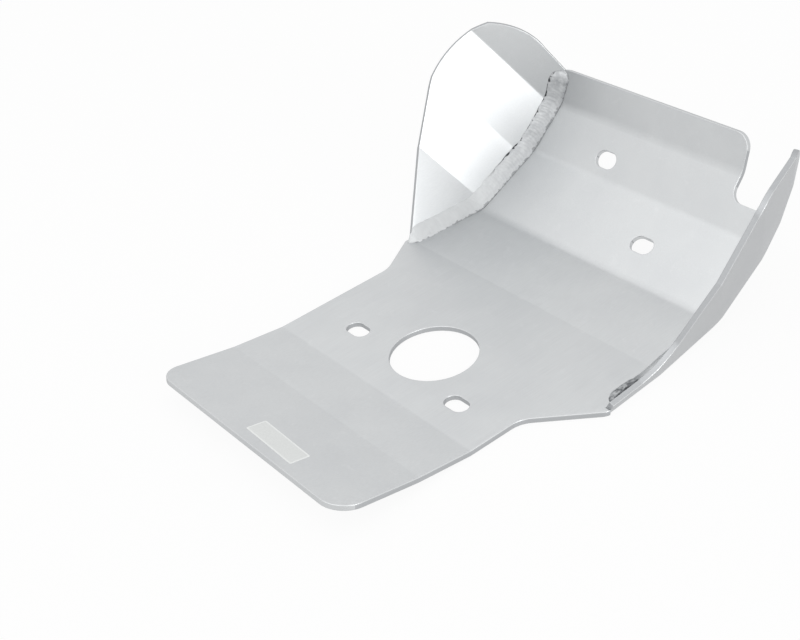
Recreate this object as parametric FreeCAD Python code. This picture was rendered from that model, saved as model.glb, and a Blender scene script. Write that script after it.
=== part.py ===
import FreeCAD, Part
import math
import os
from FreeCAD import Vector

# Folded and welded aluminium skid plate for the frame cradle of a motorcycle.
# Millimetres, +Z up, +Y to the front of the motorcycle, +X to the right of the part.
# The origin is the centre of the drain hole, on the underside of the flat belly.

# Sheet stock
sheet = 3.2
bend_radius = 14.0

# Side profile: the flat belly, then facets given by length along the sheet and slope
belly_rear_y = -41.5
belly_front_y = 67.0
rear_facet_lengths = [33.0, 49.2]
rear_facet_angles = [7.0, 11.0]
front_facet_lengths = [50.0, 49.3, 33.6, 21.8]
front_facet_angles = [3.0, 28.0, 48.0, 71.0]

# Half of the width at the first front bend, and how far each edge has drawn in from it
# at the four front bends and the flange top
half_width = 104.3
left_taper = [0.0, 4.9, 7.7, 12.1, 15.8]
right_taper = [-0.5, 4.4, 7.2, 8.0, 8.3]

# Narrow tail, by how far it is inside the half width, and the flares that widen it to the wings;
# what lies along the wings is placed by its distance ahead of the first front bend
tail_left_inset = 16.3
tail_right_inset = 26.3
tail_left_radius = 12.0
tail_right_radius = 15.0
left_flare_start = -30.0
left_flare_end = -3.0
right_flare_start = -75.0
right_flare_end = -41.0
right_flare_overhang = 3.2
flare_root_radius = 16.0
left_tip_radius = 4.0
right_tip_radius = 8.0

# Drain hole and mounting slots; a slot on a facet is placed by x and the distance up that facet
drain_diameter = 50.0
slot_length = 15.5
slot_width = 10.3
belly_slots = [(-51.0, -14.0), (43.5, -21.0)]
ramp_slot = (26.5, 22.0)
nose_slot = (-32.0, 12.0)

# Front flange, by how far its free end is inside the half width, and the notch beside it
flange_inset = 43.8
flange_corner_radius = 9.0
notch_floor = 17.5
notch_radius = 8.0

# Wings: how far each sheet leans outward, and how far the folds of both rake to the rear
left_lean_angle = 25.5
right_lean_angle = 24.3
wing_rake_angle = 31.0
wing_bend_radius = 6.0

# The folds of the wings start this far ahead of the plate's own bends
fold_shift = [0.0, 4.0, -5.0, -2.0, 0.0]

# Free edge of the left wing seen from the side: distance ahead of the first front bend,
# and height above the flat belly's top surface
left_heel = (-2.5, -2.0)
left_back_top = (46.0, 75.5)
left_shoulder = (68.0, 98.3)
left_crown = (89.0, 107.6)
left_brow = (105.0, 99.8)
left_front_top = (115.0, 86.0)
left_toe = (126.5, 64.0)

# Free edge of the right wing, seen the same way; it starts as a low lip along the flared edge
right_heel = (-40.0, -2.0)
right_lip = (-38.5, 4.0)
right_lip_end = (-17.0, 4.5)
right_lip_sweep = (-3.0, 9.5)
right_back_foot = (8.0, 18.5)
right_back_top = (47.0, 79.0)
right_shoulder = (52.0, 85.5)
right_crown = (61.0, 89.5)
right_brow = (90.5, 92.5)
right_nose = (101.0, 88.0)
right_front_top = (106.0, 78.0)
right_toe = (105.8, 20.0)

# Weld beads in the inside corners: leg on the plate and leg up the wing, crown and ripples
bead_legs = (5.0, 8.5)
lip_bead_legs = (4.0, 3.0)
bead_crown = 0.8
bead_ripple = 0.3
bead_pitch = 3.2
bead_crest = 0.35
left_bead_start = 0.5
right_bead_start = -34.0
bead_end_gap = 2.0

# How far the blanks and cutting tools reach past what they make
reach = 60.0
half_span = half_width + reach
blank_height = left_crown[1] + 2 * reach

side_left = -1
side_right = 1
x_axis = Vector(1, 0, 0)
z_axis = Vector(0, 0, 1)


def unit(vector):
    return Vector(vector).normalize()


def facet_corners(start_y, lengths, slopes, heading):
    # Corners of the top surface in the y-z plane, walking away from the flat belly
    corners = []
    y = start_y
    z = sheet
    for length, slope in zip(lengths, slopes):
        y += heading * length * math.cos(math.radians(slope))
        z += length * math.sin(math.radians(slope))
        corners.append(Vector(0, y, z))
    return corners


def offset_path(points, axis, distance):
    # The same path moved sideways in its own plane, mitred at each corner
    sides = [axis.cross(unit(b - a)) for a, b in zip(points[:-1], points[1:])]
    moved = []
    for i, point in enumerate(points):
        before = sides[max(i - 1, 0)]
        after = sides[min(i, len(sides) - 1)]
        middle = unit(before + after)
        moved.append(point + middle * (distance / middle.dot(after)))
    return moved


def rounded_path(points, radii):
    # Straight runs joined by tangent arcs, one radius for each inner corner
    edges = []
    start = points[0]
    for before, corner, after, radius in zip(points[:-2], points[1:-1], points[2:], radii):
        if radius == 0:
            edges.append(line(start, corner))
            start = corner
            continue
        back = unit(before - corner)
        ahead = unit(after - corner)
        half = back.getAngle(ahead) / 2
        enter = corner + back * (radius / math.tan(half))
        leave = corner + ahead * (radius / math.tan(half))
        crest = corner + unit(back + ahead) * (radius / math.sin(half) - radius)
        edges.append(line(start, enter))
        edges.append(arc(enter, crest, leave))
        start = leave
    edges.append(line(start, points[-1]))
    return edges


def line(start, end):
    return Part.LineSegment(start, end).toShape()


def arc(start, through, end):
    return Part.Arc(start, through, end).toShape()


def closed_face(edges):
    return Part.Face(Part.Wire(Part.__sortEdges__(edges)))


def prism(face, normal, back, ahead):
    # The face driven along its normal from a distance behind it to a distance ahead
    face.translate(normal * -back)
    return face.extrude(normal * (back + ahead))


def folded_section(points, axis, thickness, inner_radius):
    # Section of a folded sheet: the inner path, and the outer path round the same bends
    outer = offset_path(points, axis, thickness)
    bends = len(points) - 2
    edges = rounded_path(points, [inner_radius] * bends)
    edges += rounded_path(outer, [inner_radius + sheet] * bends)
    edges.append(line(points[0], outer[0]))
    edges.append(line(points[-1], outer[-1]))
    return closed_face(edges)


# Top surface of the plate as one chain of corners from the tail to the flange top
tail_corners = facet_corners(belly_rear_y, rear_facet_lengths, rear_facet_angles, -1)
nose_corners = facet_corners(belly_front_y, front_facet_lengths, front_facet_angles, 1)
belly_corners = [Vector(0, belly_rear_y, sheet), Vector(0, belly_front_y, sheet)]
profile = tail_corners[::-1] + belly_corners + nose_corners
front_bends = [belly_corners[1]] + nose_corners
ramp_start, nose_start, flange_start, flange_top = front_bends[1:]

# Edges of the outline, from the centre line
left_edge_x = [half_width - taper for taper in left_taper]
right_edge_x = [half_width - taper for taper in right_taper]
tail_left_x = tail_left_inset - half_width
tail_right_x = half_width - tail_right_inset
flange_right_x = half_width - flange_inset
flare_corner = Vector(half_width + right_flare_overhang, belly_front_y + right_flare_end, 0)


def slot_tool(x, up, origin, along):
    # Obround across the part, cut square to its facet
    radius = slot_width / 2
    half = slot_length / 2 - radius
    centre = origin + x_axis * x + along * up
    left = centre - x_axis * half
    right = centre + x_axis * half
    rise = along * radius
    edges = [
        line(left + rise, right + rise),
        arc(right + rise, right + x_axis * radius, right - rise),
        line(right - rise, left - rise),
        arc(left - rise, left - x_axis * radius, left + rise),
    ]
    return prism(closed_face(edges), x_axis.cross(along), 2 * sheet, 2 * sheet)


def corner_tool(corner, outward_x, outward_y, normal, radius):
    # What a rounded outside corner takes off a square one
    along_x = corner - outward_x * radius
    along_y = corner - outward_y * radius
    centre = corner - outward_x * radius - outward_y * radius
    crest = centre + unit(outward_x + outward_y) * radius
    edges = [
        arc(along_x, crest, along_y),
        line(along_y, along_y + outward_x * radius),
        line(along_y + outward_x * radius, corner + (outward_x + outward_y) * radius),
        line(corner + (outward_x + outward_y) * radius, along_x + outward_y * radius),
        line(along_x + outward_y * radius, along_x),
    ]
    return prism(closed_face(edges), normal, 2 * sheet, 2 * sheet)


def plan_outline():
    # Outline seen from above; it runs past the tail and the flange, which end at the sheet's own ends
    past_rear = profile[0].y - reach
    past_front = profile[-1].y + reach
    corners = [Vector(tail_right_x, past_rear, 0)]
    corners.append(Vector(tail_right_x, belly_front_y + right_flare_start, 0))
    corners.append(flare_corner)
    radii = [flare_root_radius, right_tip_radius]
    for x, bend in zip(right_edge_x, front_bends):
        corners.append(Vector(x, bend.y, 0))
        radii.append(0)
    corners.append(Vector(right_edge_x[-1], past_front, 0))
    corners.append(Vector(-left_edge_x[-1], past_front, 0))
    radii += [0, 0]
    for x, bend in list(zip(left_edge_x, front_bends))[:0:-1]:
        corners.append(Vector(-x, bend.y, 0))
        radii.append(0)
    corners.append(Vector(-left_edge_x[0], belly_front_y + left_flare_end, 0))
    corners.append(Vector(tail_left_x, belly_front_y + left_flare_start, 0))
    corners.append(Vector(tail_left_x, past_rear, 0))
    radii += [left_tip_radius, flare_root_radius]
    edges = rounded_path(corners, radii)
    edges.append(line(corners[-1], corners[0]))
    return prism(closed_face(edges), z_axis, reach, 2 * reach)


def notch_tool():
    # Everything right of the flange and past the notch floor, with its inside corner rounded
    along = unit(flange_start - nose_start)
    normal = x_axis.cross(along)
    floor = nose_start + along * notch_floor
    corner = floor + x_axis * flange_right_x
    corners = [
        corner + along * (2 * reach),
        corner,
        floor + x_axis * half_span,
        floor + x_axis * half_span + along * (2 * reach),
    ]
    edges = rounded_path(corners, [notch_radius, 0])
    edges.append(line(corners[-1], corners[0]))
    return prism(closed_face(edges), normal, reach, reach)


def make_plate(beyond_wings):
    # The folded blank cut to its outline, less what lies beyond the wings' inner faces
    section = folded_section(profile, x_axis, -sheet, bend_radius)
    plate = prism(section, x_axis, half_span, half_span)
    plate = plate.common(plan_outline())
    plate = plate.cut(notch_tool())
    for tool in beyond_wings:
        plate = plate.cut(tool)

    tail_along = unit(profile[0] - profile[1])
    tail_normal = tail_along.cross(x_axis)
    tail_end = profile[0]
    plate = plate.cut(corner_tool(tail_end + x_axis * tail_right_x, x_axis, tail_along,
                                  tail_normal, tail_right_radius))
    plate = plate.cut(corner_tool(tail_end + x_axis * tail_left_x, -x_axis, tail_along,
                                  tail_normal, tail_left_radius))
    flange_along = unit(flange_top - flange_start)
    plate = plate.cut(corner_tool(flange_top + x_axis * flange_right_x, x_axis, flange_along,
                                  x_axis.cross(flange_along), flange_corner_radius))

    plate = plate.cut(Part.makeCylinder(drain_diameter / 2, 3 * sheet, z_axis * -sheet, z_axis))
    for x, y in belly_slots:
        plate = plate.cut(slot_tool(x, y, z_axis * sheet, Vector(0, 1, 0)))
    plate = plate.cut(slot_tool(ramp_slot[0], ramp_slot[1], ramp_start, unit(nose_start - ramp_start)))
    plate = plate.cut(slot_tool(nose_slot[0], nose_slot[1], nose_start, unit(flange_start - nose_start)))
    return plate


def under_surface(depth):
    # Everything lower than a depth into the plate's sheet, carried on past both ends of it
    tail = profile[0] + unit(profile[0] - profile[1]) * reach
    nose = profile[-1] + unit(profile[-1] - profile[-2]) * reach
    corners = offset_path([tail] + profile[1:-1] + [nose], x_axis, -depth)
    edges = rounded_path(corners, [bend_radius + depth] * (len(corners) - 2))
    low_tail = Vector(0, corners[0].y, -2 * reach)
    low_nose = Vector(0, corners[-1].y, -2 * reach)
    edges.append(line(corners[0], low_tail))
    edges.append(line(low_tail, low_nose))
    edges.append(line(low_nose, corners[-1]))
    return prism(closed_face(edges), x_axis, half_span, half_span)


def fold_direction(side, lean):
    # Way up the wing along its folds: leaning outward and raked to the rear
    lean = math.radians(lean)
    rake = math.radians(wing_rake_angle)
    return Vector(side * math.sin(lean), -math.cos(lean) * math.sin(rake), math.cos(lean) * math.cos(rake))


def along_chain(points, y):
    # Point of a chain of straight runs at a given y
    for a, b in zip(points[:-1], points[1:]):
        if y <= b.y:
            break
    return a + (b - a) * ((y - a.y) / (b.y - a.y))


def wing_edge(side, lean):
    # Corner between the wing's inner face and the plate's top surface, at each bend of the plate
    inset = sheet / math.cos(math.radians(lean))
    edge_x = right_edge_x if side == side_right else left_edge_x
    edge = [Vector(side * (x - inset), bend.y, bend.z) for x, bend in zip(edge_x, front_bends)]
    if side == side_right:
        edge.insert(0, flare_corner + Vector(-inset, 0, sheet))
    return edge


def wing_feet(side, lean):
    # The same corner at each fold of the wing
    edge = wing_edge(side, lean)
    feet = [along_chain(edge, bend.y + shift) for bend, shift in zip(front_bends, fold_shift)]
    return [edge[0]] + feet if side == side_right else feet


def inner_skin(side, lean):
    # The wing's inner face before it is trimmed: the feet swept along the fold direction
    fold = fold_direction(side, lean)
    flat = [foot - fold * foot.dot(fold) for foot in wing_feet(side, lean)]
    flat[0] += unit(flat[0] - flat[1]) * (reach / 2)
    flat[-1] += unit(flat[-1] - flat[-2]) * (reach / 2)
    path = Part.Wire(rounded_path(flat, [wing_bend_radius] * (len(flat) - 2)))
    path.translate(fold * -reach)
    return path.extrude(fold * (reach + blank_height))


def outboard(side, skin, thickness):
    # Solid between a skin and its offset away from the centre line
    return Part.makeShell(skin.Faces).makeOffsetShape(-side * thickness, 0.01, fill=True)


def side_outline(side, runs):
    # Prism across the part from free-edge runs: two points make a line, three make an arc
    edges = []
    for run in runs:
        corners = [Vector(0, belly_front_y + ahead, sheet + up) for ahead, up in run]
        if len(corners) == 2:
            edges.append(line(corners[0], corners[1]))
        else:
            edges.append(arc(corners[0], corners[1], corners[2]))
    heel = edges[0].Vertexes[0].Point
    toe = edges[-1].Vertexes[-1].Point
    low_toe = Vector(0, toe.y, -reach)
    low_heel = Vector(0, heel.y, -reach)
    edges.append(line(toe, low_toe))
    edges.append(line(low_toe, low_heel))
    edges.append(line(low_heel, heel))
    return closed_face(edges).extrude(x_axis * (side * half_span))


def make_wing(side, trimmed_skin):
    # The trimmed skin thickened outward; it covers the plate's edge and ends flush with the underside
    return outboard(side, trimmed_skin, sheet).cut(under_bottom)


def ripple_rod(start, end, radius):
    # Rod about a straight axis with saw-tooth ripples, each steep behind and shallow ahead
    along = end - start
    ripples = max(round(along.Length / bead_pitch), 1)
    pitch = along.Length / ripples
    low = radius - bead_ripple
    outline = [Vector(0, 0, 0), Vector(low, 0, 0)]
    for i in range(ripples):
        outline.append(Vector(radius, 0, (i + bead_crest) * pitch))
        outline.append(Vector(low, 0, (i + 1) * pitch))
    outline += [Vector(0, 0, along.Length), Vector(0, 0, 0)]
    rod = Part.Face(Part.makePolygon(outline)).revolve(Vector(0, 0, 0), z_axis, 360)
    rod.Placement = FreeCAD.Placement(start, FreeCAD.Rotation(z_axis, along))
    return rod


def make_bead(side, lean, corners, legs, skin):
    # One rippled rod through both toes on each straight run, less the plate and the wing
    fold = fold_direction(side, lean)
    rods = []
    for start, end, (plate_leg, wing_leg) in zip(corners[:-1], corners[1:], legs):
        along = unit(end - start)
        plate_toe = unit(x_axis - along * along.x) * (-side * plate_leg)
        wing_toe = unit(fold - along * fold.dot(along)) * wing_leg
        middle = (plate_toe + wing_toe) * 0.5
        half_chord = (wing_toe - plate_toe).Length / 2
        radius = (half_chord ** 2 + bead_crown ** 2) / (2 * bead_crown)
        away = unit((wing_toe - plate_toe).cross(along))
        if away.dot(middle) < 0:
            away = -away
        axis = middle - away * (radius - bead_crown)
        rods.append(ripple_rod(start + axis, end + axis, radius))
    bead = rods[0].multiFuse(rods[1:])
    return bead.cut(under_top).cut(outboard(side, skin, reach))


def bead_corners(feet, start, last_gap):
    # The feet cut short at both ends of the weld
    first = along_chain(feet, belly_front_y + start)
    last = feet[-1] + unit(feet[-2] - feet[-1]) * last_gap
    return [first] + feet[1:-1] + [last]


left_outline = side_outline(side_left, [
    (left_heel, left_back_top),
    (left_back_top, left_shoulder, left_crown),
    (left_crown, left_brow, left_front_top),
    (left_front_top, left_toe),
])
right_outline = side_outline(side_right, [
    (right_heel, right_lip),
    (right_lip, right_lip_end),
    (right_lip_end, right_lip_sweep, right_back_foot),
    (right_back_foot, right_back_top),
    (right_back_top, right_shoulder, right_crown),
    (right_crown, right_brow),
    (right_brow, right_nose, right_front_top),
    (right_front_top, right_toe),
])

under_top = under_surface(0)
under_bottom = under_surface(sheet)
left_skin = inner_skin(side_left, left_lean_angle)
right_skin = inner_skin(side_right, right_lean_angle)

# The plate ends at the wings' inner faces, all the way ahead of their heels
left_heel_edge = side_outline(side_left, [
    (left_heel, left_back_top),
    (left_back_top, (left_toe[0] + reach, left_crown[1])),
])
right_heel_edge = side_outline(side_right, [
    (right_heel, right_lip),
    (right_lip, (right_toe[0] + reach, right_crown[1])),
])
beyond_wings = [
    outboard(side_left, left_skin.common(left_heel_edge), reach),
    outboard(side_right, right_skin.common(right_heel_edge), reach),
]

# The right weld stops at the notch floor
left_edge = wing_edge(side_left, left_lean_angle)
right_edge = wing_edge(side_right, right_lean_angle)
nose_run = unit(right_edge[-2] - right_edge[-3])
right_edge = right_edge[:-2] + [right_edge[-3] + nose_run * notch_floor]
left_corners = bead_corners(left_edge, left_bead_start, bead_end_gap)
right_corners = bead_corners(right_edge, right_bead_start, bead_end_gap)
left_legs = [bead_legs] * (len(left_corners) - 1)
right_legs = [lip_bead_legs] + [bead_legs] * (len(right_corners) - 2)

nodes = {
    "belly_plate": make_plate(beyond_wings),
    "left_wing": make_wing(side_left, left_skin.common(left_outline)),
    "right_wing": make_wing(side_right, right_skin.common(right_outline)),
    "left_weld_bead": make_bead(side_left, left_lean_angle, left_corners, left_legs, left_skin),
    "right_weld_bead": make_bead(side_right, right_lean_angle, right_corners, right_legs, right_skin),
}

os.makedirs("parts", exist_ok=True)
for name, shape in nodes.items():
    print(name, shape.ShapeType, len(shape.Solids), shape.isValid(), round(shape.Volume))
    shape.exportStep("parts/" + name + ".step")
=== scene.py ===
import bmesh
import bpy
import math
from mathutils import Matrix, Vector


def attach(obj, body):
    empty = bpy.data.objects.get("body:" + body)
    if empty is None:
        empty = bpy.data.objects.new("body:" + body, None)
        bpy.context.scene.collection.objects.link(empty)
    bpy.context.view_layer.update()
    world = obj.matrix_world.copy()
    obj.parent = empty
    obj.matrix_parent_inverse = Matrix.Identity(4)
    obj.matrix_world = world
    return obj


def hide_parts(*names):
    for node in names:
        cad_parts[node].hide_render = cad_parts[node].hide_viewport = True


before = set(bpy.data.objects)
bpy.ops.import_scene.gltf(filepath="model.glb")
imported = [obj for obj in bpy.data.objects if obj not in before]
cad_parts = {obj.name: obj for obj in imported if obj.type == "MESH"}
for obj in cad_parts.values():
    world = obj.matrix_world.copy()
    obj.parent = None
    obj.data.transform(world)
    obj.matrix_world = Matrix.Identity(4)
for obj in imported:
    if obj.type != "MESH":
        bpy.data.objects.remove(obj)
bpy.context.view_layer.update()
mm = 0.001


def linearColour(hexText):
    # an sRGB hex value as the linear colour that Blender's sockets want
    parts = [int(hexText[i:i + 2], 16) / 255 for i in (1, 3, 5)]
    return [c / 12.92 if c <= 0.04045 else ((c + 0.055) / 1.055) ** 2.4 for c in parts] + [1.0]


def addNode(tree, kind, links=None, **settings):
    # links maps an input to a socket that feeds it, or to a plain value
    node = tree.nodes.new(kind)
    for name, value in settings.items():
        setattr(node, name, value)
    for name, value in (links or {}).items():
        if isinstance(value, bpy.types.NodeSocket):
            tree.links.new(value, node.inputs[name])
        else:
            node.inputs[name].default_value = value
    return node


def scaleFromMm(size):
    # a noise or wave scale whose features are about this many millimetres across
    return 1 / (size * mm)


# ---- aluminium sheet

# Mill-finish 5000-series sheet as it leaves the rolls: an even, satin grey with a fine grain along
# the rolling direction, faint cloudy patches from handling and a few light rubs. Where it is cut
# through, the edge is duller and a shade darker.
millSheet = {
    "colour": "#cdcfd0",
    "rubbed": "#d7d8d9",
    "clouded": "#c5c7c9",
    "cutEdge": "#b4b6b8",
    "glancing": "#e0e0e1",  # bare aluminium gives back a little less at a glancing angle
    "roughness": 0.37,
    "cutRoughness": 0.5,
    "grainMm": 0.35,     # real grain is nearer 0.05 mm, drawn coarse so that it shows
    "grainStretch": 60,
    "cloudMm": 38,
    "rubMm": 7,
}


def makeSheetMaterial():
    material = bpy.data.materials.new("millFinishAluminium")
    material.use_nodes = True
    tree = material.node_tree
    tree.nodes.clear()
    place = addNode(tree, "ShaderNodeTexCoord").outputs["Object"]
    alongGrain = addNode(tree, "ShaderNodeMapping", {"Vector": place, "Scale": (1, 1 / millSheet["grainStretch"], 1)})
    grain = addNode(tree, "ShaderNodeTexNoise", {
        "Vector": alongGrain.outputs["Vector"], "Scale": scaleFromMm(millSheet["grainMm"]), "Detail": 2})
    cloud = addNode(tree, "ShaderNodeTexNoise", {
        "Vector": place, "Scale": scaleFromMm(millSheet["cloudMm"]), "Detail": 4, "Roughness": 0.55})
    rub = addNode(tree, "ShaderNodeTexNoise", {
        "Vector": place, "Scale": scaleFromMm(millSheet["rubMm"]), "Detail": 5, "Roughness": 0.7, "Distortion": 0.6})
    cloudShare = addNode(tree, "ShaderNodeMapRange", {
        "Value": cloud.outputs["Fac"], "From Min": 0.4, "From Max": 0.7, "To Min": 0.0, "To Max": 0.5})
    rubShare = addNode(tree, "ShaderNodeMapRange", {
        "Value": rub.outputs["Fac"], "From Min": 0.58, "From Max": 0.78, "To Min": 0.0, "To Max": 0.45})
    clouded = addNode(tree, "ShaderNodeMix", {
        0: cloudShare.outputs["Result"], 6: linearColour(millSheet["colour"]),
        7: linearColour(millSheet["clouded"])}, data_type="RGBA")
    rubbed = addNode(tree, "ShaderNodeMix", {
        0: rubShare.outputs["Result"], 6: clouded.outputs[2],
        7: linearColour(millSheet["rubbed"])}, data_type="RGBA")
    grainTone = addNode(tree, "ShaderNodeMapRange", {
        "Value": grain.outputs["Fac"], "From Min": 0.3, "From Max": 0.7, "To Min": 0.965, "To Max": 1.03})
    cutEdge = addNode(tree, "ShaderNodeAttribute", attribute_name="cutEdge").outputs["Fac"]
    edged = addNode(tree, "ShaderNodeMix", {
        0: cutEdge, 6: rubbed.outputs[2], 7: linearColour(millSheet["cutEdge"])}, data_type="RGBA")
    toned = addNode(tree, "ShaderNodeMix", {
        0: 1.0, 6: edged.outputs[2], 7: grainTone.outputs["Result"]}, data_type="RGBA", blend_type="MULTIPLY")
    satin = addNode(tree, "ShaderNodeMapRange", {
        "Value": grain.outputs["Fac"], "From Min": 0.25, "From Max": 0.75,
        "To Min": millSheet["roughness"] - 0.04, "To Max": millSheet["roughness"] + 0.05})
    roughness = addNode(tree, "ShaderNodeMapRange", {
        "Value": cutEdge, "To Min": satin.outputs["Result"], "To Max": millSheet["cutRoughness"]})
    grainBump = addNode(tree, "ShaderNodeBump", {
        "Height": grain.outputs["Fac"], "Strength": 0.12, "Distance": 0.02 * mm})
    shader = addNode(tree, "ShaderNodeBsdfPrincipled", {
        "Base Color": toned.outputs[2], "Metallic": 1.0, "Roughness": roughness.outputs["Result"],
        "Specular Tint": linearColour(millSheet["glancing"]), "Normal": grainBump.outputs["Normal"]})
    addNode(tree, "ShaderNodeOutputMaterial", {"Surface": shader.outputs["BSDF"]})
    return material


brokenEdge = {
    "widthMm": 0.4,      # burrs are taken off with a file
    "sharpDegrees": 40,
    "segments": 2,
}


# A cut edge is a face whose normal has only this share, or less, along the way it was cut through
cutThrough = {
    "belly_plate": {"way": (0, 0, 1), "share": 0.05},
    "left_wing": {"way": (1, 0, 0), "share": 0.5},
    "right_wing": {"way": (1, 0, 0), "share": 0.5},
}


def dressSheet(nodeName, material):
    # The sheet with its sharp edges broken and its folds shaded round
    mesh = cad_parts[nodeName].data.copy()
    shape = bmesh.new()
    shape.from_mesh(mesh)
    bmesh.ops.remove_doubles(shape, verts=shape.verts, dist=0.002 * mm)
    bmesh.ops.dissolve_limit(
        shape, angle_limit=math.radians(0.4), use_dissolve_boundaries=False,
        verts=shape.verts, edges=shape.edges)
    sharp = [e for e in shape.edges
             if e.is_manifold and e.calc_face_angle() > math.radians(brokenEdge["sharpDegrees"])]
    bmesh.ops.bevel(
        shape, geom=sharp, offset=brokenEdge["widthMm"] * mm, offset_type="OFFSET",
        segments=brokenEdge["segments"], profile=0.5, affect="EDGES", clamp_overlap=False, loop_slide=True)
    bmesh.ops.triangulate(shape, faces=shape.faces)
    edgeLayer = shape.faces.layers.float.new("cutEdge")
    cut = cutThrough[nodeName]
    for face in shape.faces:
        face[edgeLayer] = 1.0 if abs(face.normal.dot(Vector(cut["way"]))) < cut["share"] else 0.0
    shape.to_mesh(mesh)
    shape.free()
    mesh.materials.clear()
    mesh.materials.append(material)
    for face in mesh.polygons:
        face.use_smooth = True
    mesh.set_sharp_from_angle(angle=math.radians(brokenEdge["sharpDegrees"]))
    sheet = bpy.data.objects.new(nodeName + "_sheet", mesh)
    bpy.context.scene.collection.objects.link(sheet)
    weighted = sheet.modifiers.new("flatFaces", "WEIGHTED_NORMAL")
    weighted.mode = "FACE_AREA"
    weighted.weight = 100
    weighted.keep_sharp = True
    finished = bpy.data.meshes.new_from_object(sheet.evaluated_get(bpy.context.evaluated_depsgraph_get()))
    sheet.modifiers.clear()
    sheet.data = finished
    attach(sheet, "root")
    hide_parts(nodeName)
    return sheet


sheetMaterial = makeSheetMaterial()
for nodeName in cutThrough:
    dressSheet(nodeName, sheetMaterial)
print("sheets dressed")


# ---- weld beads

# Each stop of a route: the inside corner in mm, then the toe on the plate and the toe on the wing
# measured from it, then how dark the toe lines are there and how much the whole bead is painted darker there.
weldRoutes = {
    "left": [
        ((-101.15, 63.4, 3.2), (2.6, -0.26, 0.0), (-0.8, -0.01, 1.6), 0.1, 0.0),
        ((-100.8, 67.2, 3.2), (4.0, -0.4, 0.0), (-2.1, -0.03, 4.4), 0.1, 0.0),
        ((-100.3, 72.5, 3.2), (4.98, -0.49, 0.0), (-3.6, -0.04, 7.5), 0.1, 0.0),
        ((-95.85, 116.93, 5.82), (4.99, -0.37, -0.08), (-3.67, -1.73, 7.3), 0.2, 0.0),
        ((-92.55, 160.46, 28.96), (4.98, -0.34, -0.3), (-3.80, -4.32, 6.14), 1.0, 0.0),
        ((-88.15, 182.94, 53.93), (4.95, -0.35, -0.64), (-4.51, -5.68, 4.2), 1.0, 0.0),
        ((-86.3, 187.1, 66.0), (4.93, -0.27, -0.79), (-5.05, -6.14, 3.02), 1.0, 0.1),
        ((-85.15, 189.7, 73.6), (6.2, -0.34, -0.99), (-6.0, -7.3, 3.6), 0.5, 0.3),
    ],
    "right": [
        ((103.6, 32.0, 3.2), (-5.6, -0.36, 0.0), (1.9, 0.13, 3.95), 1.0, 1.0),
        ((102.4, 49.5, 3.2), (-5.2, -0.34, 0.0), (1.9, 0.13, 3.95), 1.0, 0.9),
        ((102.1, 54.0, 3.2), (-4.2, -0.26, 0.0), (1.4, 0.09, 2.8), 0.6, 0.3),
        ((101.7, 61.0, 3.2), (-3.99, -0.26, 0.0), (1.31, 0.09, 2.7), 0.3, 0.0),
        ((101.0, 70.0, 3.3), (-4.98, -0.49, 0.0), (3.2, 0.0, 7.0), 0.2, 0.0),
        ((96.39, 116.93, 5.82), (-4.99, -0.37, -0.08), (3.50, -1.77, 7.34), 0.4, 0.0),
        ((93.59, 160.46, 28.96), (-4.99, -0.17, -0.11), (3.57, -4.55, 6.07), 0.8, 0.0),
        ((93.22, 170.83, 40.48), (-5.0, -0.08, -0.09), (3.67, -5.64, 5.19), 0.8, 0.1),
    ],
}

weldBead = {
    "crownMm": 0.35,
    "rippleMm": 0.11,
    "pitchMm": 2.1,      # one ripple for each dip of the filler rod
    "scallop": 1.1,      # how far a ripple trails at the toes, in pitches
    "lumpMm": 0.7,       # how unevenly the rod was fed
    "toeLiftMm": 0.22,   # how proud of the sheets the toes stand
    "wander": 0.22,      # how much a toe strays, as a share of its leg
    "foldRadiusMm": 20,
    "stepMm": 0.28,
    "endTaperMm": 8,
    "seed": 7,
}

# Tungsten-arc weld left as welded: the sheet's own grey, with painted shade in the valleys between the ripples, and
# broken dark lines along both toes, partly oxide and undercut and partly painted shade in the creases at the toes.
weldMetal = {
    "colour": "#c3c5c6",
    "valleyShade": "#b4b6b8",
    "toe": "#55575a",
    "beadDarkening": "#6a6c6f",
    "roughness": 0.5,
    "breakMm": 3.2,      # length of the breaks in the toe lines
    "plateToeShare": 0.42,  # the toe line on the plate side is paler
    "plateToeReach": 0.95,  # and narrower
}


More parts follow.
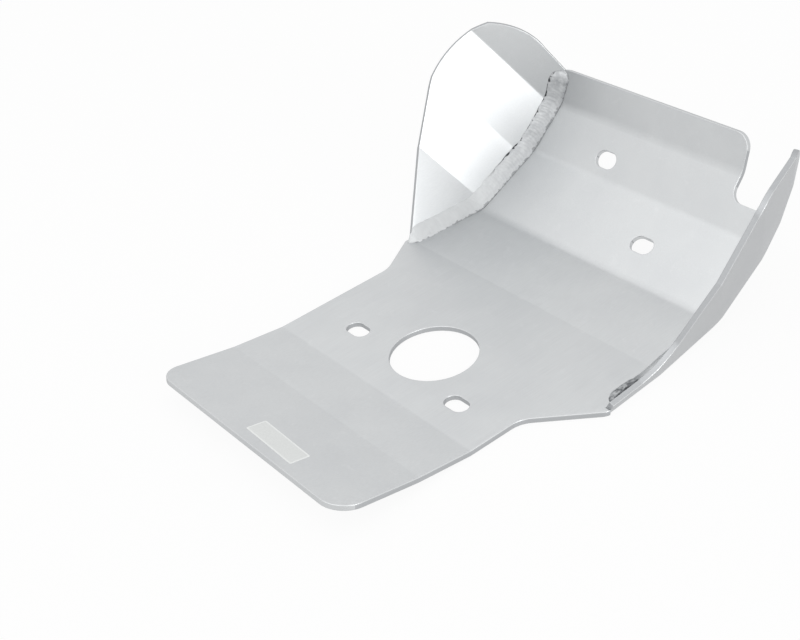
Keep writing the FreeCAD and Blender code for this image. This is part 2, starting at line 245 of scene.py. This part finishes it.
def makeWeldMaterial():
    material = bpy.data.materials.new("asWeldedAluminium")
    material.use_nodes = True
    tree = material.node_tree
    tree.nodes.clear()
    place = addNode(tree, "ShaderNodeTexCoord").outputs["Object"]
    across = addNode(tree, "ShaderNodeAttribute", attribute_name="across").outputs["Fac"]
    ripple = addNode(tree, "ShaderNodeAttribute", attribute_name="ripple").outputs["Fac"]
    toeDark = addNode(tree, "ShaderNodeAttribute", attribute_name="toeDark").outputs["Fac"]
    beadDarkening = addNode(tree, "ShaderNodeAttribute", attribute_name="beadDarkening").outputs["Fac"]
    breaks = addNode(tree, "ShaderNodeTexNoise", {
        "Vector": place, "Scale": scaleFromMm(weldMetal["breakMm"]), "Detail": 3, "Roughness": 0.6})
    # dark broken lines along both toes: partly oxide and undercut, partly painted shade in the creases where the bead
    # meets the sheets
    toeStart = addNode(tree, "ShaderNodeMapRange", {
        "Value": breaks.outputs["Fac"], "From Min": 0.35, "From Max": 0.62, "To Min": 0.66, "To Max": 1.0})
    towardsPlate = addNode(tree, "ShaderNodeMath", {
        0: across, 1: -weldMetal["plateToeReach"]}, operation="MULTIPLY")
    fromMiddle = addNode(tree, "ShaderNodeMath", {
        0: across, 1: towardsPlate.outputs["Value"]}, operation="MAXIMUM")
    past = addNode(tree, "ShaderNodeMath", {
        0: fromMiddle.outputs["Value"], 1: toeStart.outputs["Result"]}, operation="SUBTRACT")
    toeLine = addNode(tree, "ShaderNodeMapRange", {
        "Value": past.outputs["Value"], "From Min": 0.0, "From Max": 0.06})
    onWing = addNode(tree, "ShaderNodeMapRange", {"Value": across, "From Min": -0.1, "From Max": 0.1})
    wingShare = addNode(tree, "ShaderNodeMapRange", {"Value": toeDark, "From Min": 0.4, "From Max": 0.85})
    sideShare = addNode(tree, "ShaderNodeMix", {
        0: onWing.outputs["Result"], 2: weldMetal["plateToeShare"], 3: wingShare.outputs["Result"]}, data_type="FLOAT")
    toeShare = addNode(tree, "ShaderNodeMath", {
        0: toeLine.outputs["Result"], 1: sideShare.outputs[0]}, operation="MULTIPLY")
    # the whole bead is painted darker in patches, by each stop's amount, near the right weld's start and the left
    # weld's top end
    patches = addNode(tree, "ShaderNodeMapRange", {
        "Value": breaks.outputs["Fac"], "From Min": 0.4, "From Max": 0.56, "To Min": 0.05, "To Max": 1.0})
    beadDarkeningShare = addNode(tree, "ShaderNodeMath", {0: beadDarkening, 1: patches.outputs["Result"]}, operation="MULTIPLY")
    # the valleys between the ripples are painted darker as painted shade, with random mottle from the noise added to
    # it
    valleyShade = addNode(tree, "ShaderNodeMath", {0: 1.0, 1: ripple}, operation="SUBTRACT")
    dark = addNode(tree, "ShaderNodeMapRange", {
        "Value": breaks.outputs["Fac"], "From Min": 0.35, "From Max": 0.65, "To Min": 0.0, "To Max": 1.0})
    shadeAndMottle = addNode(tree, "ShaderNodeMath", {
        0: valleyShade.outputs["Value"], 1: dark.outputs["Result"]}, operation="ADD")
    shadeAndMottleShare = addNode(tree, "ShaderNodeMath", {
        0: shadeAndMottle.outputs["Value"], 1: toeDark}, operation="MULTIPLY", use_clamp=True)
    valleyShaded = addNode(tree, "ShaderNodeMix", {
        0: shadeAndMottleShare.outputs["Value"], 6: linearColour(weldMetal["colour"]),
        7: linearColour(weldMetal["valleyShade"])}, data_type="RGBA")
    beadDarkened = addNode(tree, "ShaderNodeMix", {
        0: beadDarkeningShare.outputs["Value"], 6: valleyShaded.outputs[2],
        7: linearColour(weldMetal["beadDarkening"])}, data_type="RGBA")
    toed = addNode(tree, "ShaderNodeMix", {
        0: toeShare.outputs["Value"], 6: beadDarkened.outputs[2],
        7: linearColour(weldMetal["toe"])}, data_type="RGBA")
    roughness = addNode(tree, "ShaderNodeMapRange", {
        "Value": toeShare.outputs["Value"], "To Min": weldMetal["roughness"], "To Max": 0.7})
    shader = addNode(tree, "ShaderNodeBsdfPrincipled", {
        "Base Color": toed.outputs[2], "Metallic": 1.0, "Roughness": roughness.outputs["Result"]})
    addNode(tree, "ShaderNodeOutputMaterial", {"Surface": shader.outputs["BSDF"]})
    return material


def makeWeldTree():
    # Sweeps a round section along the route, then pushes every point to its place on the bead
    tree = bpy.data.node_groups.new("weldBeadTree", "GeometryNodeTree")
    face = tree.interface
    face.new_socket("Geometry", in_out="INPUT", socket_type="NodeSocketGeometry")
    for name in ("Crown", "Ripple", "Pitch", "Scallop", "Lump", "Toe Lift", "Wander", "Fold Radius", "Step",
                 "End Taper"):
        face.new_socket(name, in_out="INPUT", socket_type="NodeSocketFloat")
    face.new_socket("Seed", in_out="INPUT", socket_type="NodeSocketInt")
    face.new_socket("Material", in_out="INPUT", socket_type="NodeSocketMaterial")
    face.new_socket("Geometry", in_out="OUTPUT", socket_type="NodeSocketGeometry")
    inputs = addNode(tree, "NodeGroupInput").outputs

    def attribute(name, kind):
        return addNode(tree, "GeometryNodeInputNamedAttribute", {"Name": name}, data_type=kind).outputs["Attribute"]

    def maths(operation, *values):
        return addNode(tree, "ShaderNodeMath", dict(enumerate(values)), operation=operation).outputs["Value"]

    def vectors(operation, *values):
        node = addNode(tree, "ShaderNodeVectorMath", dict(enumerate(values)), operation=operation)
        return node.outputs["Vector"]

    def scaled(vector, factor):
        return addNode(tree, "ShaderNodeVectorMath", {0: vector, "Scale": factor}, operation="SCALE").outputs["Vector"]

    def store(geometry, name, kind, value):
        node = addNode(tree, "GeometryNodeStoreNamedAttribute", {
            "Geometry": geometry, "Name": name, "Value": value}, data_type=kind, domain="POINT")
        return node.outputs["Geometry"]

    # the route as a curve, which remembers its length, its place and its way ahead
    route = addNode(tree, "GeometryNodeMeshToCurve", {"Mesh": inputs["Geometry"]}).outputs["Curve"]
    route = addNode(tree, "GeometryNodeFilletCurve", {
        "Curve": route, "Count": 10, "Radius": inputs["Fold Radius"], "Limit Radius": True}, mode="POLY").outputs["Curve"]
    route = addNode(tree, "GeometryNodeResampleCurve", {
        "Curve": route, "Length": inputs["Step"]}, mode="LENGTH").outputs["Curve"]
    spline = addNode(tree, "GeometryNodeSplineParameter").outputs
    route = store(route, "runLength", "FLOAT", spline["Length"])
    route = store(route, "runShare", "FLOAT", spline["Factor"])
    route = store(route, "runPlace", "FLOAT_VECTOR", addNode(tree, "GeometryNodeInputPosition").outputs["Position"])

    # the section, a circle whose place round the bead is kept as two numbers
    ring = addNode(tree, "GeometryNodeCurvePrimitiveCircle", {"Resolution": 36, "Radius": 1.0}, mode="RADIUS")
    ringPlace = addNode(tree, "GeometryNodeInputPosition").outputs["Position"]
    ring = store(ring.outputs["Curve"], "ringPlace", "FLOAT_VECTOR", ringPlace)
    bead = addNode(tree, "GeometryNodeCurveToMesh", {
        "Curve": route, "Profile Curve": ring, "Fill Caps": True}).outputs["Mesh"]

    split = addNode(tree, "ShaderNodeSeparateXYZ", {"Vector": attribute("ringPlace", "FLOAT_VECTOR")}).outputs
    u = split["X"]
    v = split["Y"]
    runLength = attribute("runLength", "FLOAT")
    runShare = attribute("runShare", "FLOAT")
    runPlace = attribute("runPlace", "FLOAT_VECTOR")
    chord = attribute("chord", "FLOAT_VECTOR")
    root = attribute("root", "FLOAT_VECTOR")

    # the bead draws in at both ends of the run
    whole = maths("DIVIDE", runLength, maths("MAXIMUM", runShare, 0.0001))
    toEnd = maths("MINIMUM", runLength, maths("SUBTRACT", whole, runLength))
    open_ = maths("MINIMUM", maths("DIVIDE", toEnd, inputs["End Taper"]), 1.0)
    ends = maths("SQRT", maths("SUBTRACT", 1.0, maths("POWER", maths("SUBTRACT", 1.0, open_), 2.0)))
    ends = maths("MAXIMUM", ends, 0.02)

    # ripples trail at the toes, and no two are quite alike
    seedPlace = addNode(tree, "ShaderNodeCombineXYZ", {"X": runLength, "Y": inputs["Seed"]}).outputs["Vector"]
    drift = addNode(tree, "ShaderNodeTexNoise", {"Vector": seedPlace, "Scale": scaleFromMm(9), "Detail": 1})
    bend = maths("MULTIPLY", maths("MULTIPLY", u, u), inputs["Scallop"])
    phase = maths("ADD", maths("DIVIDE", runLength, inputs["Pitch"]), bend)
    phase = maths("ADD", phase, maths("MULTIPLY", drift.outputs["Fac"], 2.2))
    tooth = maths("FRACT", phase)
    tooth = maths("SQRT", maths("SUBTRACT", 1.0, maths("POWER", tooth, 2.0)))
    fade = maths("SUBTRACT", 1.0, maths("POWER", maths("ABSOLUTE", u), 6.0))
    hot = maths("ADD", maths("MULTIPLY", attribute("toeDark", "FLOAT"), 0.85), 0.15)
    lift = maths("MULTIPLY", maths("MULTIPLY", maths("MULTIPLY", tooth, hot), inputs["Ripple"]), fade)
    lumpPlace = addNode(tree, "ShaderNodeCombineXYZ", {
        "X": runLength, "Y": maths("MULTIPLY", u, 4 * mm), "Z": inputs["Seed"]}).outputs["Vector"]
    lumps = addNode(tree, "ShaderNodeTexNoise", {"Vector": lumpPlace, "Scale": scaleFromMm(5), "Detail": 2})
    lump = maths("MULTIPLY", maths("MULTIPLY", lumps.outputs["Fac"], hot), maths("MULTIPLY", inputs["Lump"], fade))
    lift = maths("ADD", lift, lump)

    # a point's place on the section, seen from the middle of the line between the toes
    above = maths("POWER", maths("MAXIMUM", v, 0.0), 2.0)
    below = maths("MAXIMUM", maths("MULTIPLY", v, -1.0), 0.0)
    onTop = maths("GREATER_THAN", v, -0.001)
    rise = maths("ADD", maths("MULTIPLY", above, inputs["Crown"]), maths("ADD", lift, inputs["Toe Lift"]))
    rise = maths("MULTIPLY", rise, onTop)
    section = vectors("ADD", scaled(chord, maths("MULTIPLY", u, 0.5)), scaled(root, maths("MULTIPLY", below, 0.85)))
    section = vectors("ADD", section, scaled(vectors("NORMALIZE", scaled(root, -1.0)), rise))

    # the section grows and shrinks about the corner, so that both toes slide along their own sheets
    side = addNode(tree, "ShaderNodeCombineXYZ", {
        "X": runLength, "Y": maths("MULTIPLY", u, 20 * mm), "Z": inputs["Seed"]}).outputs["Vector"]
    stray = addNode(tree, "ShaderNodeTexNoise", {"Vector": side, "Scale": scaleFromMm(7), "Detail": 2})
    stray = maths("MULTIPLY", maths("SUBTRACT", stray.outputs["Fac"], 0.5), inputs["Wander"])
    size = maths("MULTIPLY", ends, maths("ADD", stray, 1.0))
    target = vectors("ADD", runPlace, root)
    target = vectors("ADD", target, scaled(vectors("SUBTRACT", section, root), size))

    bead = store(bead, "across", "FLOAT", u)
    bead = store(bead, "ripple", "FLOAT", tooth)
    bead = addNode(tree, "GeometryNodeSetPosition", {"Geometry": bead, "Position": target}).outputs["Geometry"]
    bead = addNode(tree, "GeometryNodeRealizeInstances", {"Geometry": bead}).outputs["Geometry"]
    bead = addNode(tree, "GeometryNodeSetMaterial", {
        "Geometry": bead, "Material": inputs["Material"]}).outputs["Geometry"]
    addNode(tree, "NodeGroupOutput", {"Geometry": bead})
    return tree


def makeWeld(side, tree, material):
    # the route is a chain of edges between the toes, with the section's size kept at each stop
    stops = []
    chords = []
    roots = []
    for corner, plateToe, wingToe, toeDark, beadDarkening in weldRoutes[side]:
        middle = (Vector(plateToe) + Vector(wingToe)) / 2
        stops.append((Vector(corner) + middle) * mm)
        chords.append((Vector(wingToe) - Vector(plateToe)) * mm)
        roots.append(-middle * mm)
    mesh = bpy.data.meshes.new(side + "WeldRoute")
    mesh.from_pydata(stops, [(i, i + 1) for i in range(len(stops) - 1)], [])
    for name, values in (("chord", chords), ("root", roots)):
        layer = mesh.attributes.new(name, "FLOAT_VECTOR", "POINT")
        for item, value in zip(layer.data, values):
            item.vector = value
    for name, position in (("toeDark", 3), ("beadDarkening", 4)):
        layer = mesh.attributes.new(name, "FLOAT", "POINT")
        for item, stop in zip(layer.data, weldRoutes[side]):
            item.value = stop[position]
    carrier = bpy.data.objects.new(side + "WeldRoute", mesh)
    bpy.context.scene.collection.objects.link(carrier)
    modifier = carrier.modifiers.new("weldBead", "NODES")
    modifier.node_group = tree
    sizes = {
        "Crown": weldBead["crownMm"] * mm, "Ripple": weldBead["rippleMm"] * mm, "Pitch": weldBead["pitchMm"] * mm,
        "Scallop": weldBead["scallop"], "Lump": weldBead["lumpMm"] * mm,
        "Toe Lift": weldBead["toeLiftMm"] * mm, "Wander": weldBead["wander"],
        "Fold Radius": weldBead["foldRadiusMm"] * mm, "Step": weldBead["stepMm"] * mm,
        "End Taper": weldBead["endTaperMm"] * mm, "Seed": weldBead["seed"], "Material": material,
    }
    for item in tree.interface.items_tree:
        if item.item_type == "SOCKET" and item.in_out == "INPUT" and item.name in sizes:
            modifier[item.identifier] = sizes[item.name]
    evaluated = carrier.evaluated_get(bpy.context.evaluated_depsgraph_get())
    solid = bpy.data.meshes.new_from_object(evaluated)
    bpy.data.objects.remove(carrier)
    shape = bmesh.new()
    shape.from_mesh(solid)
    bmesh.ops.remove_doubles(shape, verts=shape.verts, dist=0.001 * mm)
    bmesh.ops.recalc_face_normals(shape, faces=shape.faces)
    shape.to_mesh(solid)
    shape.free()
    for polygon in solid.polygons:
        polygon.use_smooth = True
    bead = bpy.data.objects.new(side + "_weld", solid)
    bpy.context.scene.collection.objects.link(bead)
    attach(bead, "root")
    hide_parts(side + "_weld_bead")
    return bead


weldMaterial = makeWeldMaterial()
weldTree = makeWeldTree()
for side in weldRoutes:
    bead = makeWeld(side, weldTree, weldMaterial)
    print(side, "weld laid,", len(bead.data.polygons), "faces")


# ---- blank label on the tail

blankLabel = {
    "centre": (9.8, -110.2),     # x and y in mm
    "size": (41.5, 12.2),
    "thicknessMm": 0.12,
    "cornerMm": 0.9,
    "turnDegrees": -1.7,
    "facetStart": (-74.25, 7.22),  # y and z of the fold below it
    "slopeDegrees": 11,
    "rimMm": 0.9,
}

# Matt silver-white vinyl, die cut, with a slightly brighter rim painted round its edge
labelVinyl = {
    "face": "#d7d9d8",
    "rim": "#e4e6e5",
    "roughness": 0.42,
    "fibreMm": 0.9,
}


def makeLabelMaterial():
    material = bpy.data.materials.new("mattVinyl")
    material.use_nodes = True
    tree = material.node_tree
    tree.nodes.clear()
    place = addNode(tree, "ShaderNodeTexCoord").outputs["Object"]
    fibre = addNode(tree, "ShaderNodeTexNoise", {
        "Vector": place, "Scale": scaleFromMm(labelVinyl["fibreMm"]), "Detail": 4})
    rim = addNode(tree, "ShaderNodeAttribute", attribute_name="rim").outputs["Fac"]
    face = addNode(tree, "ShaderNodeMix", {
        0: rim, 6: linearColour(labelVinyl["face"]), 7: linearColour(labelVinyl["rim"])}, data_type="RGBA")
    tone = addNode(tree, "ShaderNodeMapRange", {
        "Value": fibre.outputs["Fac"], "From Min": 0.3, "From Max": 0.7, "To Min": 0.95, "To Max": 1.02})
    toned = addNode(tree, "ShaderNodeMix", {
        0: 1.0, 6: face.outputs[2], 7: tone.outputs["Result"]}, data_type="RGBA", blend_type="MULTIPLY")
    wave = addNode(tree, "ShaderNodeBump", {
        "Height": fibre.outputs["Fac"], "Strength": 0.15, "Distance": 0.02 * mm})
    shader = addNode(tree, "ShaderNodeBsdfPrincipled", {
        "Base Color": toned.outputs[2], "Roughness": labelVinyl["roughness"], "IOR": 1.46,
        "Normal": wave.outputs["Normal"]})
    addNode(tree, "ShaderNodeOutputMaterial", {"Surface": shader.outputs["BSDF"]})
    return material


def roundedRing(width, height, radius, steps=6):
    # corner points of a rounded rectangle, anticlockwise
    points = []
    for cornerIndex, (sx, sy) in enumerate(((1, 1), (-1, 1), (-1, -1), (1, -1))):
        for step in range(steps + 1):
            angle = math.radians(90 * (cornerIndex + step / steps))
            points.append((sx * (width / 2 - radius) + radius * math.cos(angle),
                           sy * (height / 2 - radius) + radius * math.sin(angle)))
    return points


def makeLabel(material):
    slope = math.radians(blankLabel["slopeDegrees"])
    foldY, foldZ = blankLabel["facetStart"]
    x, y = blankLabel["centre"]
    z = foldZ + (foldY - y) * math.tan(slope)
    seat = (Matrix.Translation(Vector((x, y, z)) * mm)
            @ Matrix.Rotation(-slope, 4, "X")
            @ Matrix.Rotation(math.radians(blankLabel["turnDegrees"]), 4, "Z"))
    width, height = blankLabel["size"]
    rings = []
    shape = bmesh.new()
    rimLayer = shape.verts.layers.float.new("rim")
    inset = blankLabel["rimMm"]
    top = blankLabel["thicknessMm"]
    for drawIn, level, rim in ((0, 0, 1), (0, top * 0.6, 1), (0.15, top, 1), (inset, top, 1), (inset + 0.1, top, 0)):
        ring = []
        radius = max(blankLabel["cornerMm"] - drawIn, 0.3)
        for px, py in roundedRing(width - 2 * drawIn, height - 2 * drawIn, radius):
            vert = shape.verts.new(seat @ (Vector((px, py, level)) * mm))
            vert[rimLayer] = rim
            ring.append(vert)
        rings.append(ring)
    for lower, upper in zip(rings[:-1], rings[1:]):
        for i in range(len(lower)):
            j = (i + 1) % len(lower)
            shape.faces.new((lower[i], lower[j], upper[j], upper[i]))
    shape.faces.new(rings[-1])
    shape.faces.new(rings[0][::-1])
    bmesh.ops.recalc_face_normals(shape, faces=shape.faces)
    mesh = bpy.data.meshes.new("blank_label")
    shape.to_mesh(mesh)
    shape.free()
    mesh.materials.append(material)
    label = bpy.data.objects.new("blank_label", mesh)
    bpy.context.scene.collection.objects.link(label)
    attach(label, "root")
    return label


makeLabel(makeLabelMaterial())
print("label laid on the tail")


# ---- studio

studio = {
    "floor": "#e9e9e8",
    "floorWhite": 0.92,   # share of the floor that the camera sees as plain white; the rest keeps the shadow
    "skyLevel": 0.72,
    "floorHalfM": 4.0,
    "floorDropMm": 0.3,   # just clear of the underside, so that the two faces don't meet
    "lamps": {
        "topLamp": {"place": (0.15, 0.0, 1.5), "size": 2.4, "power": 6.6},
        "leftLamp": {"place": (-1.5, -0.15, 1.3), "size": 2.0, "power": 1.7},
        "sideLamp": {"place": (2.9, -0.03, 0.6), "size": 1.25, "power": 27},
        "frontLamp": {"place": (0.25, -1.1, 1.3), "size": 1.0, "power": 3},
    },
    "aim": (0.0, 0.03, 0.03),
}


def seenDirectly(tree):
    # one for what the camera sees straight, in a reflection or through glass
    path = addNode(tree, "ShaderNodeLightPath").outputs
    seen = addNode(tree, "ShaderNodeMath", {0: path["Is Camera Ray"], 1: path["Is Glossy Ray"]}, operation="MAXIMUM")
    seen = addNode(tree, "ShaderNodeMath", {
        0: seen.outputs["Value"], 1: path["Is Transmission Ray"]}, operation="MAXIMUM")
    return seen.outputs["Value"]


def makeFloor():
    half = studio["floorHalfM"]
    level = -studio["floorDropMm"] * mm
    corners = [(-half, -half, level), (half, -half, level), (half, half, level), (-half, half, level)]
    mesh = bpy.data.meshes.new("studioFloor")
    mesh.from_pydata(corners, [], [(0, 1, 2, 3)])
    material = bpy.data.materials.new("palePaper")
    material.use_nodes = True
    tree = material.node_tree
    tree.nodes.clear()
    place = addNode(tree, "ShaderNodeTexCoord").outputs["Object"]
    tooth = addNode(tree, "ShaderNodeTexNoise", {"Vector": place, "Scale": scaleFromMm(3), "Detail": 3})
    paper = addNode(tree, "ShaderNodeMapRange", {"Value": tooth.outputs["Fac"], "To Min": 0.98, "To Max": 1.02})
    colour = addNode(tree, "ShaderNodeMix", {
        0: 1.0, 6: linearColour(studio["floor"]), 7: paper.outputs["Result"]}, data_type="RGBA", blend_type="MULTIPLY")
    shader = addNode(tree, "ShaderNodeBsdfPrincipled", {"Base Color": colour.outputs[2], "Roughness": 0.9})
    white = addNode(tree, "ShaderNodeEmission", {"Color": (1, 1, 1, 1), "Strength": 1.0})
    share = addNode(tree, "ShaderNodeMath", {0: seenDirectly(tree), 1: studio["floorWhite"]}, operation="MULTIPLY")
    both = addNode(tree, "ShaderNodeMixShader", {
        0: share.outputs["Value"], 1: shader.outputs["BSDF"], 2: white.outputs["Emission"]})
    # the paper is clear from below, so that the underside can be looked at
    under = addNode(tree, "ShaderNodeNewGeometry").outputs["Backfacing"]
    clear = addNode(tree, "ShaderNodeBsdfTransparent")
    oneSided = addNode(tree, "ShaderNodeMixShader", {0: under, 1: both.outputs["Shader"], 2: clear.outputs["BSDF"]})
    addNode(tree, "ShaderNodeOutputMaterial", {"Surface": oneSided.outputs["Shader"]})
    mesh.materials.append(material)
    floor = bpy.data.objects.new("studioFloor", mesh)
    bpy.context.scene.collection.objects.link(floor)


def makeSky():
    world = bpy.data.worlds.new("studioSky")
    world.use_nodes = True
    tree = world.node_tree
    tree.nodes.clear()
    dim = addNode(tree, "ShaderNodeBackground", {"Color": (1, 1, 1, 1), "Strength": studio["skyLevel"]})
    white = addNode(tree, "ShaderNodeBackground", {"Color": (1, 1, 1, 1), "Strength": 1.0})
    both = addNode(tree, "ShaderNodeMixShader", {
        0: seenDirectly(tree), 1: dim.outputs["Background"], 2: white.outputs["Background"]})
    addNode(tree, "ShaderNodeOutputWorld", {"Surface": both.outputs["Shader"]})
    bpy.context.scene.world = world


def makeLamp(name):
    facts = studio["lamps"][name]
    lamp = bpy.data.lights.new(name, "AREA")
    lamp.shape = "SQUARE"
    lamp.size = facts["size"]
    lamp.energy = facts["power"]
    holder = bpy.data.objects.new(name, lamp)
    holder.location = facts["place"]
    aim = Vector(studio["aim"]) - Vector(facts["place"])
    holder.rotation_euler = aim.to_track_quat("-Z", "Y").to_euler()
    bpy.context.scene.collection.objects.link(holder)


# the camera of the product picture, worked out from the plate's own straight edges
viewpoint = {
    "place": (529.3, -368.5, 466.0),
    "right": (0.621, 0.772, -0.136),
    "up": (-0.371, 0.443, 0.816),
    "lensMm": 65.08,
    "sensorMm": 36,
}


def makeCamera():
    lens = bpy.data.cameras.new("productCamera")
    lens.lens = viewpoint["lensMm"]
    lens.sensor_width = viewpoint["sensorMm"]
    camera = bpy.data.objects.new("productCamera", lens)
    right = Vector(viewpoint["right"]).normalized()
    up = Vector(viewpoint["up"])
    up = (up - right * up.dot(right)).normalized()
    back = right.cross(up)
    turn = Matrix((right, up, back)).transposed().to_4x4()
    camera.matrix_world = Matrix.Translation(Vector(viewpoint["place"]) * mm) @ turn
    bpy.context.scene.collection.objects.link(camera)
    bpy.context.scene.camera = camera


makeFloor()
makeSky()
for name in studio["lamps"]:
    makeLamp(name)
makeCamera()
bpy.context.scene.view_settings.view_transform = "Standard"
print("studio set")
